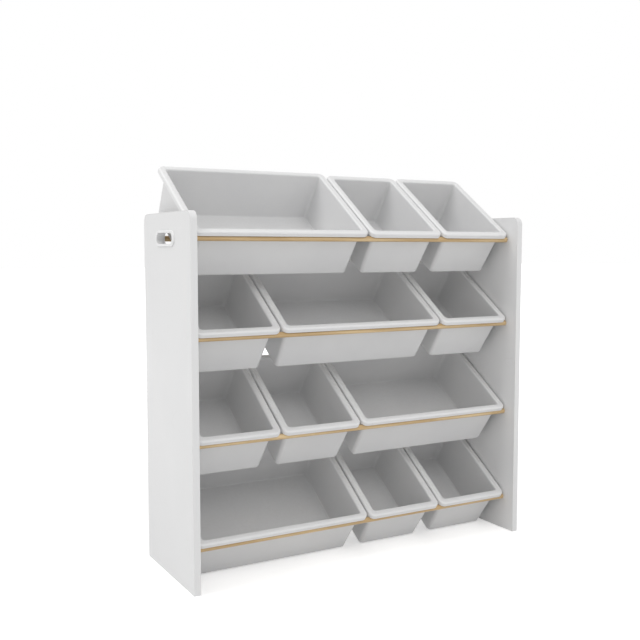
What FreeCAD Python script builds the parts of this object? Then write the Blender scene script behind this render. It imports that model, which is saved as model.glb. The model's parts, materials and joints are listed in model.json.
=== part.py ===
import FreeCAD, Part
import math
import os

import Sketcher
from FreeCAD import Placement, Rotation, Vector

# Toy storage rack: two side panels joined by pairs of wooden rods, and four rows of loose plastic bins
# that lie tilted in the cradle of a front rod and a rear rod.
#
# Frame: millimetres, +X to the rack's right, the open front faces -Y, +Z up. The origin is on the floor,
# in the middle of the rack's whole width and depth.

DIMENSIONS = [
    # name, value, what it is
    ("panel_depth", 280.0, "side panel, front to back"),
    ("panel_height", 780.0, "side panel, floor to top"),
    ("panel_thickness", 15.0, "side panel board"),
    ("panel_corner", 18.0, "radius of the panel's two top corners"),
    ("panel_edge", 1.0, "rounding of the panel's long edges"),
    ("panel_middle", -8.8, "middle of the panel's depth, from the middle of the whole depth"),
    ("inside_width", 830.0, "clear width between the panels"),
    ("hold_offset", 2.0, "hand-hold's middle, behind the panel's middle"),
    ("hold_height", 725.5, "hand-hold's middle, above the floor"),
    ("hold_length", 110.0, "hand-hold flange, long way"),
    ("hold_width", 33.5, "hand-hold flange, short way"),
    ("opening_length", 92.0, "hand-hold opening, long way"),
    ("opening_width", 23.5, "hand-hold opening, short way"),
    ("hold_proud", 3.5, "flange thickness, proud of the panel"),
    ("hold_sleeve", 2.0, "wall of the hand-hold's sleeve"),
    ("hold_play", 0.15, "play between the sleeve and the panel's slot"),
    ("rod_diameter", 12.7, "wooden rods"),
    ("rod_spacing", 192.0, "front rod to rear rod, on one level"),
    ("rods_offset", -2.3, "middle between a row's two rods, behind the panel's middle"),
    ("rod_seat", 8.0, "depth of the rod's blind bore in the panel"),
    ("rod_play", 0.05, "play around the rod in its bore"),
    ("row_1_rods", 725.9, "height of the rods' middle, top row"),
    ("row_2_rods", 520.1, "second row"),
    ("row_3_rods", 298.8, "third row"),
    ("row_4_rods", 81.1, "bottom row"),
    ("screw_shank", 4.2, "rod screw, shank diameter"),
    ("screw_length", 36.0, "rod screw, under the head"),
    ("screw_tip", 4.0, "length of the screw's point"),
    ("screw_head", 9.6, "rod screw, head diameter"),
    ("screw_head_height", 2.6, "rod screw, head"),
    ("head_seat", 10.0, "diameter of the recess for the screw head"),
    ("head_seat_depth", 3.0, "recess for the screw head, below the cap's seat"),
    ("pilot_depth", 36.0, "pilot hole in the rod's end"),
    ("screw_hole", 4.6, "hole for the screw through the panel"),
    ("cap_diameter", 13.0, "cover cap"),
    ("cap_thickness", 1.2, "cover cap, flush with the panel"),
    ("cap_play", 0.1, "play around the cap"),
    ("bin_tilt", 34.5, "slope of the bins, lower at the front"),
    ("bin_depth", 121.0, "rim's top to the underside, square to the rim"),
    ("bin_wall", 2.2, "wall and floor of a bin"),
    ("bin_gap", 4.5, "between neighbouring rims"),
    ("bin_play", 0.25, "between a bin and its rods"),
    ("side_rim", 16.0, "rim width at the bin's two sides"),
    ("side_draft", 4.0, "how much each side wall leans in, over the depth"),
    ("end_draft", 1.0, "how much the front and rear walls lean in, over the depth"),
    ("rim_corner", 15.0, "outer corner radius of the rim"),
    ("rim_round", 4.5, "rounding of the rim's top outer edge"),
    ("rim_plate", 2.4, "thickness of the rim's top"),
    ("rim_skirt", 2.2, "thickness of the rim's skirt"),
    ("mouth_corner", 6.0, "inner corner radius at the mouth"),
    ("mouth_round", 4.5, "rounding of the mouth's edge"),
    ("channel_round", 2.2, "rounding under the rim, between its top and the wall"),
    ("foot_corner", 10.0, "outer corner radius at the underside"),
    ("foot_round", 5.5, "rounding between walls and underside, outside"),
    ("floor_round", 3.5, "rounding between walls and floor, inside"),
    ("large_width", 419.0, "large bin, side to side over the rim"),
    ("large_length", 262.0, "large bin, front to back over the rim"),
    ("large_end_rim", 14.5, "large bin, rim width at front and rear"),
    ("large_rim_height", 11.0, "large bin, height of the rim's skirt"),
    ("small_width", 197.0, "small bin, side to side over the rim"),
    ("small_length", 256.0, "small bin, front to back over the rim"),
    ("small_end_rim", 16.0, "small bin, rim width at front and rear"),
    ("small_rim_height", 11.5, "small bin, height of the rim's skirt"),
]

# Bins of each row from the top down, left to right.
ROWS = [
    ("large", "small", "small"),
    ("small", "large", "small"),
    ("small", "small", "large"),
    ("large", "small", "small"),
]
PLACES = ("left", "middle", "right")
SIDES = {"left": -1, "right": 1}

doc = FreeCAD.newDocument("toy_storage_rack")
sheet = doc.addObject("Spreadsheet::Sheet", "Dimensions")
for line, (alias, number, note) in enumerate(DIMENSIONS, start=1):
    sheet.set(f"A{line}", note)
    sheet.set(f"B{line}", str(number))
    sheet.setAlias(f"B{line}", alias)
doc.recompute()


class Size:
    """A length kept both as its number and as the expression that gives it from the sheet."""

    def __init__(self, value, text):
        self.value = value
        self.text = text

    def join(self, sign, other, result):
        return Size(result, f"({self.text} {sign} {as_size(other).text})")

    def __add__(self, other):
        return self.join("+", other, self.value + as_size(other).value)

    def __sub__(self, other):
        return self.join("-", other, self.value - as_size(other).value)

    def __mul__(self, other):
        return self.join("*", other, self.value * as_size(other).value)

    def __truediv__(self, other):
        return self.join("/", other, self.value / as_size(other).value)

    def __neg__(self):
        return Size(-self.value, f"(0 - {self.text})")


def as_size(number):
    """Return the number as a Size; a Size stays as it is."""
    if isinstance(number, Size):
        return number
    return Size(float(number), f"{float(number)}" if number >= 0 else f"(0 - {float(-number)})")


def cell(alias):
    """Return the sheet's cell as a Size."""
    return Size(float(sheet.get(alias)), f"{sheet.Name}.{alias}")


def sine(angle):
    return Size(math.sin(math.radians(angle.value)), f"sin({angle.text})")


def cosine(angle):
    return Size(math.cos(math.radians(angle.value)), f"cos({angle.text})")


def bind(thing, name, size):
    """Let a property follow the sheet through the size's expression."""
    thing.setExpression(name, as_size(size).text)


def place(thing, x=0, y=0, z=0, axis=Vector(0, 0, 1), angle=None):
    """Bind the object's placement: a turn about the axis and then a shift."""
    shift = [as_size(value) for value in (x, y, z)]
    turn = as_size(0 if angle is None else angle)
    thing.Placement = Placement(Vector(*[size.value for size in shift]), Rotation(axis, turn.value))
    for letter, size in zip("xyz", shift):
        bind(thing, f"Placement.Base.{letter}", size)
    if angle is not None:
        bind(thing, "Placement.Rotation.Angle", turn)


# ---------------------------------------------------------------- sketches


def new_body(name):
    body = doc.addObject("PartDesign::Body", name)
    body.Label = name
    return body


def new_sketch(body, name, plane, offset=0):
    """Start a sketch on one of the body's own planes, shifted along that plane's normal."""
    sketch = body.newObject("Sketcher::SketchObject", f"{body.Name}_{name}")
    own_plane = [feature for feature in body.Origin.OriginFeatures if feature.Role == plane][0]
    sketch.AttachmentSupport = [(own_plane, "")]
    sketch.MapMode = "FlatFace"
    distance = as_size(offset)
    sketch.AttachmentOffset = Placement(Vector(0, 0, distance.value), Rotation())
    bind(sketch, "AttachmentOffset.Base.z", distance)
    return sketch


def constrain(sketch, kind, *where, size):
    """Add a dimension whose value follows the sheet."""
    index = sketch.addConstraint(Sketcher.Constraint(kind, *where, size.value))
    bind(sketch, f"Constraints[{index}]", size)


def pin_point(sketch, curve, point, x, y):
    """Dimension a curve's point from the sketch's origin, each way."""
    constrain(sketch, "DistanceX", -1, 1, curve, point, size=as_size(x))
    constrain(sketch, "DistanceY", -1, 1, curve, point, size=as_size(y))


def polygon(sketch, corners):
    """Draw a closed outline of straight lines through the corners."""
    points = [Vector(as_size(x).value, as_size(y).value, 0) for x, y in corners]
    lines = []
    for start, end in zip(points, points[1:] + points[:1]):
        lines.append(sketch.addGeometry(Part.LineSegment(start, end), False))
    for line, following in zip(lines, lines[1:] + lines[:1]):
        sketch.addConstraint(Sketcher.Constraint("Coincident", line, 2, following, 1))
    for line, (x, y) in zip(lines, corners):
        pin_point(sketch, line, 1, x, y)


def circle(sketch, x, y, diameter):
    radius = as_size(diameter) / 2
    middle = Vector(as_size(x).value, as_size(y).value, 0)
    curve = sketch.addGeometry(Part.Circle(middle, Vector(0, 0, 1), radius.value), False)
    pin_point(sketch, curve, 3, x, y)
    constrain(sketch, "Radius", curve, size=radius)


def rounded_rectangle(sketch, x_low, x_high, y_low, y_high, radius):
    """Draw a rectangle with four equal round corners, counter-clockwise from its lower side."""
    left, right, low, high = [as_size(value).value for value in (x_low, x_high, y_low, y_high)]
    r = radius.value
    sides = [
        ((left + r, low), (right - r, low)),
        ((right, low + r), (right, high - r)),
        ((right - r, high), (left + r, high)),
        ((left, high - r), (left, low + r)),
    ]
    middles = [(right - r, low + r), (right - r, high - r), (left + r, high - r), (left + r, low + r)]
    lines = [
        sketch.addGeometry(Part.LineSegment(Vector(*start, 0), Vector(*end, 0)), False)
        for start, end in sides
    ]
    arcs = []
    for quarter, middle in enumerate(middles):
        ring = Part.Circle(Vector(*middle, 0), Vector(0, 0, 1), r)
        start = (quarter - 1) * math.pi / 2
        arcs.append(sketch.addGeometry(Part.ArcOfCircle(ring, start, start + math.pi / 2), False))
    for quarter in range(4):
        following = lines[(quarter + 1) % 4]
        sketch.addConstraint(Sketcher.Constraint("Tangent", lines[quarter], 2, arcs[quarter], 1))
        sketch.addConstraint(Sketcher.Constraint("Tangent", arcs[quarter], 2, following, 1))
    for quarter, way in enumerate(("Horizontal", "Vertical", "Horizontal", "Vertical")):
        sketch.addConstraint(Sketcher.Constraint(way, lines[quarter]))
    for arc in arcs[1:]:
        sketch.addConstraint(Sketcher.Constraint("Equal", arcs[0], arc))
    constrain(sketch, "Radius", arcs[0], size=as_size(radius))
    constrain(sketch, "DistanceY", -1, 1, lines[0], 1, size=as_size(y_low))
    constrain(sketch, "DistanceX", -1, 1, lines[1], 1, size=as_size(x_high))
    constrain(sketch, "DistanceY", -1, 1, lines[2], 1, size=as_size(y_high))
    constrain(sketch, "DistanceX", -1, 1, lines[3], 1, size=as_size(x_low))


# ---------------------------------------------------------------- features


def pad(body, name, sketch, length, reversed_way=False):
    feature = body.newObject("PartDesign::Pad", f"{body.Name}_{name}")
    feature.Profile = sketch
    feature.Reversed = reversed_way
    bind(feature, "Length", length)
    sketch.Visibility = False
    return feature


def pocket(body, name, sketch, length, reversed_way=False):
    """Cut the sketch into the body, against the sketch's normal unless reversed."""
    doc.recompute()
    before = body.Shape.Volume
    feature = body.newObject("PartDesign::Pocket", f"{body.Name}_{name}")
    feature.Profile = sketch
    feature.Reversed = reversed_way
    bind(feature, "Length", length)
    sketch.Visibility = False
    doc.recompute()
    if body.Shape.Volume >= before - 1.0:
        raise RuntimeError(f"{feature.Name} cuts nothing")
    return feature


def loft(body, name, kind, first, last):
    feature = body.newObject(f"PartDesign::{kind}", f"{body.Name}_{name}")
    feature.Profile = first
    feature.Sections = [(last, "")]
    feature.Ruled = True
    for sketch in (first, last):
        sketch.Visibility = False
    return feature


def fillet(body, name, radius, wanted):
    """Round the edges of the body's last feature that the test picks."""
    doc.recompute()
    base = body.Tip
    edges = [f"Edge{index}" for index, edge in enumerate(base.Shape.Edges, start=1) if wanted(edge)]
    if not edges:
        raise RuntimeError(f"{name} of {body.Name} finds no edge")
    feature = body.newObject("PartDesign::Fillet", f"{body.Name}_{name}")
    feature.Base = (base, edges)
    bind(feature, "Radius", radius)
    doc.recompute()
    return feature


def level_at(height):
    """Return a test for edges that lie flat at one height of the body."""
    return lambda edge: edge.BoundBox.ZLength < 0.01 and abs(edge.BoundBox.ZMin - height) < 0.01


# ---------------------------------------------------------------- side panels and hand-holds

half_inside = cell("inside_width") / 2
rod_ys = [cell("rods_offset") - cell("rod_spacing") / 2, cell("rods_offset") + cell("rod_spacing") / 2]
rod_heights = [cell(f"row_{row}_rods") for row in (1, 2, 3, 4)]
rod_places = [(y, z) for z in rod_heights for y in rod_ys]


def hold_outline(sketch, edge, margin, centre_z):
    """Draw a long outline with nearly round ends, a margin outside the hand-hold's flange or opening."""
    half_length = cell(f"{edge}_length") / 2 + margin
    half_width = cell(f"{edge}_width") / 2 + margin
    middle = cell("hold_offset")
    rounded_rectangle(
        sketch,
        middle - half_length,
        middle + half_length,
        centre_z - half_width,
        centre_z + half_width,
        half_width - 0.5,
    )


def build_panel(side):
    """Make one side panel: its inner face is the body's own YZ plane."""
    sign = SIDES[side]
    thickness = cell("panel_thickness")
    outer = thickness * sign
    body = new_body(f"side_panel_{side}")
    place(body, half_inside * sign, cell("panel_middle"), 0)

    board = new_sketch(body, "outline", "YZ_Plane")
    half_depth = cell("panel_depth") / 2
    polygon(
        board,
        [
            (-half_depth, 0),
            (half_depth, 0),
            (half_depth, cell("panel_height")),
            (-half_depth, cell("panel_height")),
        ],
    )
    pad(body, "board", board, thickness, reversed_way=sign < 0)
    crosswise_at_top = level_at(cell("panel_height").value)
    fillet(
        body,
        "top_corners",
        cell("panel_corner"),
        lambda edge: edge.BoundBox.YLength < 0.01 and crosswise_at_top(edge),
    )
    fillet(
        body,
        "long_edges",
        cell("panel_edge"),
        lambda edge: edge.BoundBox.XLength < 0.01 and edge.BoundBox.ZMax > 0.01,
    )

    slot = new_sketch(body, "slot", "YZ_Plane")
    hold_outline(slot, "opening", cell("hold_sleeve") + cell("hold_play"), cell("hold_height"))
    pocket(body, "hold_slot", slot, thickness, reversed_way=sign > 0)

    bores = new_sketch(body, "bores", "YZ_Plane")
    for y, z in rod_places:
        circle(bores, y, z, cell("rod_diameter") + cell("rod_play") * 2)
    pocket(body, "rod_bores", bores, cell("rod_seat"), reversed_way=sign > 0)

    holes = new_sketch(body, "holes", "YZ_Plane", outer)
    for y, z in rod_places:
        circle(holes, y, z, cell("screw_hole"))
    pocket(body, "screw_holes", holes, thickness, reversed_way=sign < 0)

    heads = new_sketch(body, "heads", "YZ_Plane", outer)
    for y, z in rod_places:
        circle(heads, y, z, cell("head_seat"))
    head_depth = cell("cap_thickness") + cell("head_seat_depth")
    pocket(body, "head_recesses", heads, head_depth, reversed_way=sign < 0)

    seats = new_sketch(body, "cap_seats_outline", "YZ_Plane", outer)
    for y, z in rod_places:
        circle(seats, y, z, cell("cap_diameter") + cell("cap_play") * 2)
    pocket(body, "cap_seats", seats, cell("cap_thickness"), reversed_way=sign < 0)
    return body


def build_hand_hold(side):
    """Make one hand-hold insert: a flange on the panel's outer face and a sleeve through the panel."""
    sign = SIDES[side]
    thickness = cell("panel_thickness")
    proud = cell("hold_proud")
    body = new_body(f"hand_hold_{side}")
    place(body, (half_inside + thickness) * sign, cell("panel_middle"), cell("hold_height"))

    flange = new_sketch(body, "flange_outline", "YZ_Plane")
    hold_outline(flange, "hold", as_size(0), as_size(0))
    pad(body, "flange", flange, proud, reversed_way=sign < 0)
    face_x = sign * proud.value
    fillet(
        body,
        "flange_round",
        proud * 0.7,
        lambda edge: edge.BoundBox.XLength < 0.01 and abs(edge.BoundBox.XMin - face_x) < 0.01,
    )
    sleeve = new_sketch(body, "sleeve_outline", "YZ_Plane")
    hold_outline(sleeve, "opening", cell("hold_sleeve"), as_size(0))
    pad(body, "sleeve", sleeve, thickness, reversed_way=sign > 0)

    opening = new_sketch(body, "opening_outline", "YZ_Plane", proud * sign)
    hold_outline(opening, "opening", as_size(0), as_size(0))
    pocket(body, "opening", opening, thickness + proud, reversed_way=sign < 0)
    return body


# ---------------------------------------------------------------- rods, screws and caps


def build_rod(name, y, z):
    """Turn one rod about its own X axis, with a pilot hole in each end."""
    body = new_body(name)
    place(body, 0, cell("panel_middle") + y, z)
    half = half_inside + cell("rod_seat")
    radius = cell("rod_diameter") / 2
    pilot = cell("screw_shank") / 2
    bottom = half - cell("pilot_depth")
    profile = new_sketch(body, "profile", "XZ_Plane")
    polygon(
        profile,
        [
            (-bottom, 0),
            (bottom, 0),
            (bottom, pilot),
            (half, pilot),
            (half, radius),
            (-half, radius),
            (-half, pilot),
            (-bottom, pilot),
        ],
    )
    turned = body.newObject("PartDesign::Revolution", f"{name}_turned")
    turned.Profile = profile
    turned.ReferenceAxis = (profile, ["H_Axis"])
    turned.Angle = 360
    profile.Visibility = False
    return body


def cylinder(name, diameter, height):
    solid = doc.addObject("Part::Cylinder", name)
    bind(solid, "Radius", diameter / 2)
    bind(solid, "Height", height)
    return solid


def group(name, pieces):
    """Gather separate solids into one labelled node."""
    compound = doc.addObject("Part::Compound", name)
    compound.Label = name
    compound.Links = pieces
    return compound


def build_screws(side):
    """Make the screws that hold the rods' ends to one panel, each driven in from outside."""
    sign = SIDES[side]
    inward = Vector(0, -sign, 0)
    seat = (half_inside + cell("panel_thickness") - cell("cap_thickness") - cell("head_seat_depth")) * sign
    screws = []
    for index, (y, z) in enumerate(rod_places, start=1):
        label = f"screw_{side}_{index}"
        world_y = cell("panel_middle") + y
        straight = cell("screw_length") - cell("screw_tip")
        head = cylinder(f"{label}_head", cell("screw_head"), cell("screw_head_height"))
        place(head, seat, world_y, z, -inward, 90)
        shank = cylinder(f"{label}_shank", cell("screw_shank"), straight)
        place(shank, seat, world_y, z, inward, 90)
        tip = doc.addObject("Part::Cone", f"{label}_tip")
        bind(tip, "Radius1", cell("screw_shank") / 2)
        tip.Radius2 = 0
        bind(tip, "Height", cell("screw_tip"))
        place(tip, seat - straight * sign, world_y, z, inward, 90)
        screw = doc.addObject("Part::MultiFuse", label)
        screw.Shapes = [head, shank, tip]
        screws.append(screw)
    return group(f"rod_screws_{side}", screws)


def build_caps(side):
    """Make the flush caps that cover the screws of one panel."""
    sign = SIDES[side]
    face = (half_inside + cell("panel_thickness")) * sign
    caps = []
    for index, (y, z) in enumerate(rod_places, start=1):
        cap = cylinder(f"cap_{side}_{index}", cell("cap_diameter"), cell("cap_thickness"))
        place(cap, face, cell("panel_middle") + y, z, Vector(0, -sign, 0), 90)
        caps.append(cap)
    return group(f"screw_caps_{side}", caps)


# ---------------------------------------------------------------- bins


def bin_outline(sketch, width, length, side_inset, end_inset, radius):
    """Draw a bin's plan outline, inset from the rim's outer edge, with the rim's front edge at y = 0."""
    half = width / 2 - side_inset
    rounded_rectangle(sketch, -half, half, end_inset, length - end_inset, radius)


def build_bin(name, kind, centre_x, rod_height):
    """Make one bin in its own upright frame and lay it in the cradle of its two rods.

    In the bin's own frame the rim's top is z = 0, the rim's front edge is y = 0 and x = 0 is the middle.
    """
    width = cell(f"{kind}_width")
    length = cell(f"{kind}_length")
    rim_height = cell(f"{kind}_rim_height")
    depth = cell("bin_depth")
    wall = cell("bin_wall")
    side_inner = cell("side_rim")
    end_inner = cell(f"{kind}_end_rim")
    side_outer = side_inner - wall
    end_outer = end_inner - wall
    floor = depth - wall
    body = new_body(name)

    rim = new_sketch(body, "rim_outline", "XY_Plane")
    bin_outline(rim, width, length, as_size(0), as_size(0), cell("rim_corner"))
    pad(body, "rim", rim, rim_height, reversed_way=True)

    top = new_sketch(body, "wall_top", "XY_Plane")
    bin_outline(top, width, length, side_outer, end_outer, cell("mouth_corner") + wall)
    foot = new_sketch(body, "wall_foot", "XY_Plane", -depth)
    foot_sides = side_outer + cell("side_draft")
    foot_ends = end_outer + cell("end_draft")
    bin_outline(foot, width, length, foot_sides, foot_ends, cell("foot_corner"))
    loft(body, "walls", "AdditiveLoft", top, foot)
    fillet(body, "foot_rounding", cell("foot_round"), level_at(-depth.value))
    fillet(body, "rim_rounding", cell("rim_round"), level_at(0))

    mouth = new_sketch(body, "mouth", "XY_Plane")
    bin_outline(mouth, width, length, side_inner, end_inner, cell("mouth_corner"))
    base = new_sketch(body, "floor_outline", "XY_Plane", -floor)
    share = floor / depth
    bin_outline(
        base,
        width,
        length,
        side_inner + cell("side_draft") * share,
        end_inner + cell("end_draft") * share,
        cell("foot_corner") - wall,
    )
    loft(body, "hollow", "SubtractiveLoft", mouth, base)
    fillet(body, "floor_rounding", cell("floor_round"), level_at(-floor.value))
    mouth_half = width.value / 2 - side_inner.value + 0.1
    flat = level_at(0)
    fillet(
        body,
        "mouth_rounding",
        cell("mouth_round"),
        lambda edge: flat(edge)
        and edge.BoundBox.XMax < mouth_half
        and edge.BoundBox.XMin > -mouth_half
        and edge.BoundBox.YMin > end_inner.value - 0.1
        and edge.BoundBox.YMax < length.value - end_inner.value + 0.1,
    )

    channel = new_sketch(body, "channel_outline", "XY_Plane", -rim_height)
    skirt = cell("rim_skirt")
    bin_outline(channel, width, length, skirt, skirt, cell("rim_corner") - skirt)
    bin_outline(channel, width, length, side_outer, end_outer, cell("mouth_corner") + wall)
    pocket(body, "channel", channel, rim_height - cell("rim_plate"), reversed_way=True)
    under_plate = level_at(-cell("rim_plate").value)
    wall_half = width.value / 2 - side_outer.value + 0.1
    fillet(
        body,
        "channel_rounding",
        cell("channel_round"),
        lambda edge: under_plate(edge)
        and abs(edge.BoundBox.XMax) < wall_half
        and abs(edge.BoundBox.XMin) < wall_half
        and edge.BoundBox.YMin > end_outer.value - 0.1
        and edge.BoundBox.YMax < length.value - end_outer.value + 0.1,
    )

    # The underside rests on the rear rod and the front wall leans on the front rod, so both rods' middles
    # have fixed places in the bin's own frame: so far below the rim and so far behind its front edge.
    tilt = cell("bin_tilt")
    reach = cell("rod_diameter") / 2 + cell("bin_play")
    below = depth + reach - cell("rod_spacing") * sine(tilt)
    behind = end_outer + cell("end_draft") * below / depth - reach
    front_rod_y = cell("panel_middle") + rod_ys[0]
    rim_y = front_rod_y - behind * cosine(tilt) - below * sine(tilt)
    rim_z = rod_height - behind * sine(tilt) + below * cosine(tilt)
    place(body, centre_x, rim_y, rim_z, Vector(1, 0, 0), tilt)
    return body


def row_centres(kinds):
    """Return the middle of each bin of a row, spread evenly about the rack's middle."""
    gap = cell("bin_gap")
    widths = [cell(f"{kind}_width") for kind in kinds]
    start = -(widths[0] + widths[1] + widths[2] + gap * 2) / 2
    centres = []
    for width in widths:
        centres.append(start + width / 2)
        start = start + width + gap
    return centres


def bin_name(kind, row, place_name):
    """A row has one large bin, named by its row, and two small ones, named by their places too."""
    if kind == "large":
        return f"large_bin_row_{row}"
    return f"small_bin_row_{row}_{place_name}"


nodes = []
for side in SIDES:
    nodes.append(build_panel(side))
    nodes.append(build_hand_hold(side))
    nodes.append(build_screws(side))
    nodes.append(build_caps(side))
for row, rod_height in enumerate(rod_heights, start=1):
    nodes.append(build_rod(f"front_rod_row_{row}", rod_ys[0], rod_height))
    nodes.append(build_rod(f"rear_rod_row_{row}", rod_ys[1], rod_height))
for row, (kinds, rod_height) in enumerate(zip(ROWS, rod_heights), start=1):
    for kind, place_name, centre_x in zip(kinds, PLACES, row_centres(kinds)):
        nodes.append(build_bin(bin_name(kind, row, place_name), kind, centre_x, rod_height))
doc.recompute()

for thing in doc.Objects:
    if "Invalid" in thing.State or "Error" in thing.State:
        raise RuntimeError(f"{thing.Name} failed: {thing.State}")
for node in nodes:
    if node.Shape.isNull() or not node.Shape.isValid():
        raise RuntimeError(f"{node.Label} has no valid shape")

os.makedirs("parts", exist_ok=True)
for node in nodes:
    node.Shape.exportStep(f"parts/{node.Label}.step")
    box = node.Shape.BoundBox
    print(
        f"{node.Label}: {len(node.Shape.Solids)} solid(s), "
        f"x {box.XMin:.1f}..{box.XMax:.1f}, "
        f"y {box.YMin:.1f}..{box.YMax:.1f}, "
        f"z {box.ZMin:.1f}..{box.ZMax:.1f}"
    )
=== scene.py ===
"""Looks of a toy storage rack: board side panels, wooden rods and twelve loose moulded bins.

All lengths are metres in the frame of the solids: +X to the rack's right, the open front faces
-Y, +Z up, with the origin on the floor in the middle of the whole width and depth.
"""

import json
import logging
import math
from dataclasses import dataclass, field
from enum import Enum
from typing import Any

import bmesh
import bpy
from mathutils import Matrix, Vector

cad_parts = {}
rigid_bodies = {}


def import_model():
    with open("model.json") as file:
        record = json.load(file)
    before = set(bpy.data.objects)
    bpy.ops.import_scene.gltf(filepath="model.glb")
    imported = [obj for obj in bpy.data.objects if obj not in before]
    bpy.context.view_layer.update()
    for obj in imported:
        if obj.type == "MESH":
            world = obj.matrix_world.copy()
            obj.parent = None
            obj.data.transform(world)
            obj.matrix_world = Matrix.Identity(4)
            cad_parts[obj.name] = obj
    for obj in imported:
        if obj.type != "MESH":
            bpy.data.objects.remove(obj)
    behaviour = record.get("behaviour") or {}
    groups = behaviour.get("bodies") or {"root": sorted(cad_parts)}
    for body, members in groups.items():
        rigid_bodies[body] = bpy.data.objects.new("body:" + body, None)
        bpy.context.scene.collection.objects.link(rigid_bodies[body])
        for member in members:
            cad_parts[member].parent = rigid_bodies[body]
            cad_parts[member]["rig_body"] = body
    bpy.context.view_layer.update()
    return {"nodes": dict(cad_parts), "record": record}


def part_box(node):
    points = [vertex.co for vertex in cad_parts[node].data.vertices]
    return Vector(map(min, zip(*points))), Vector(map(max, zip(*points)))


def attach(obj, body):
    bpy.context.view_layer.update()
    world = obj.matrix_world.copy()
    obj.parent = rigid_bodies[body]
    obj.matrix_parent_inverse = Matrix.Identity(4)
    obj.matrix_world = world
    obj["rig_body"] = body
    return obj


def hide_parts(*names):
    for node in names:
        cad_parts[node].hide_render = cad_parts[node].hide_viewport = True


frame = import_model()

MM = 0.001
QUARTER_TURN = math.pi / 2
log = logging.getLogger("toy_storage_rack")

Colour = tuple[float, float, float]
Triple = tuple[float, float, float]
Span = tuple[float, float]
Socket = bpy.types.NodeSocket

# Between these values lies most of what a noise pattern gives.
NOISE_SPAN: Span = (0.3, 0.7)
# The bins' vertex layer for how much each point is lightened, 0 to 1: partly handling wear, partly
# a painted highlight on the rims and edges.
RUB_AND_HIGHLIGHT_LAYER = "exposed"


# ---------------------------------------------------------------- node trees


class NodeBench:
    """A node tree that is being filled, with short calls that add nodes and wire them."""

    COLUMN = 190.0
    ROW = -120.0
    ROWS = 3
    # The Mix node's numbers for the share, the two colours and the mixed colour.
    MIX_SHARE, MIX_FIRST, MIX_SECOND, MIX_RESULT = 0, 6, 7, 2

    def __init__(self, tree: bpy.types.NodeTree) -> None:
        """Start on a tree.

        Args:
            tree: The material's, world's or group's node tree.
        """
        self.tree = tree
        self.count = 0

    def add(
        self, kind: str, sockets: dict[str | int, Any] | None = None, **settings: Any
    ) -> bpy.types.Node:
        """Add one node.

        Args:
            kind: The node's type name.
            sockets: Input names or numbers with a plain value, or with the output that feeds them.
            **settings: The node's own settings.

        Returns:
            The new node.
        """
        node = self.tree.nodes.new(kind)
        node.location = (self.COLUMN * self.count, self.ROW * (self.count % self.ROWS))
        self.count += 1
        for setting, value in settings.items():
            setattr(node, setting, value)
        for socket, value in (sockets or {}).items():
            if isinstance(value, Socket):
                self.tree.links.new(value, node.inputs[socket])
            else:
                node.inputs[socket].default_value = value
        return node

    def math(self, operation: str, first: Any, second: Any = 0.0, clamp: bool = False) -> Socket:
        """Add a Math node.

        Args:
            operation: The operation's name.
            first: A number or an output.
            second: A number or an output.
            clamp: Whether the result is held between 0 and 1.

        Returns:
            The node's value.
        """
        sockets = {0: first, 1: second}
        return self.add("ShaderNodeMath", sockets, operation=operation, use_clamp=clamp).outputs[0]

    def noise(self, place: Socket, scale: Any, detail: float = 3.0) -> Socket:
        """Add fractal noise.

        Args:
            place: The coordinates.
            scale: Noise cells to the metre, a number or an output.
            detail: Octaves.

        Returns:
            The noise value, about 0 to 1.
        """
        node = self.add("ShaderNodeTexNoise", {"Vector": place, "Scale": scale, "Detail": detail})
        return node.outputs["Fac"]

    def stretch(self, place: Socket, factors: Triple) -> Socket:
        """Scale coordinates, so that a pattern is drawn out along one way.

        Args:
            place: The coordinates.
            factors: The factor along X, Y and Z.

        Returns:
            The scaled coordinates.
        """
        node = self.add("ShaderNodeVectorMath", {0: place, 1: factors}, operation="MULTIPLY")
        return node.outputs[0]

    def ramp(
        self, value: Any, low: float, high: float, to_low: float = 0.0, to_high: float = 1.0
    ) -> Socket:
        """Add a smooth Map Range node.

        Args:
            value: The output to map.
            low: The value that gives to_low.
            high: The value that gives to_high.
            to_low: Result at the low end.
            to_high: Result at the high end.

        Returns:
            The mapped value.
        """
        sockets = {0: value, 1: low, 2: high, 3: to_low, 4: to_high}
        return self.add("ShaderNodeMapRange", sockets, interpolation_type="SMOOTHSTEP").outputs[0]

    def blend(self, share: Any, first: Any, second: Any) -> Socket:
        """Mix two colours.

        Args:
            share: How much of the second colour, a number or an output.
            first: A colour or an output.
            second: A colour or an output.

        Returns:
            The mixed colour.
        """
        sockets = {self.MIX_SHARE: share}
        for place, value in ((self.MIX_FIRST, first), (self.MIX_SECOND, second)):
            sockets[place] = value if isinstance(value, Socket) else (*value, 1.0)
        return self.add("ShaderNodeMix", sockets, data_type="RGBA").outputs[self.MIX_RESULT]


# ---------------------------------------------------------------- shared effects


class Effect(Enum):
    """The surface effects that several finishes share, each one shader node group."""

    GRAIN = "surface_grain"
    DRIFT = "tone_drift"
    SMUDGES = "handling_smudges"
    SCUFFS = "fine_scuffs"
    DUST = "settled_dust"


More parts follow.
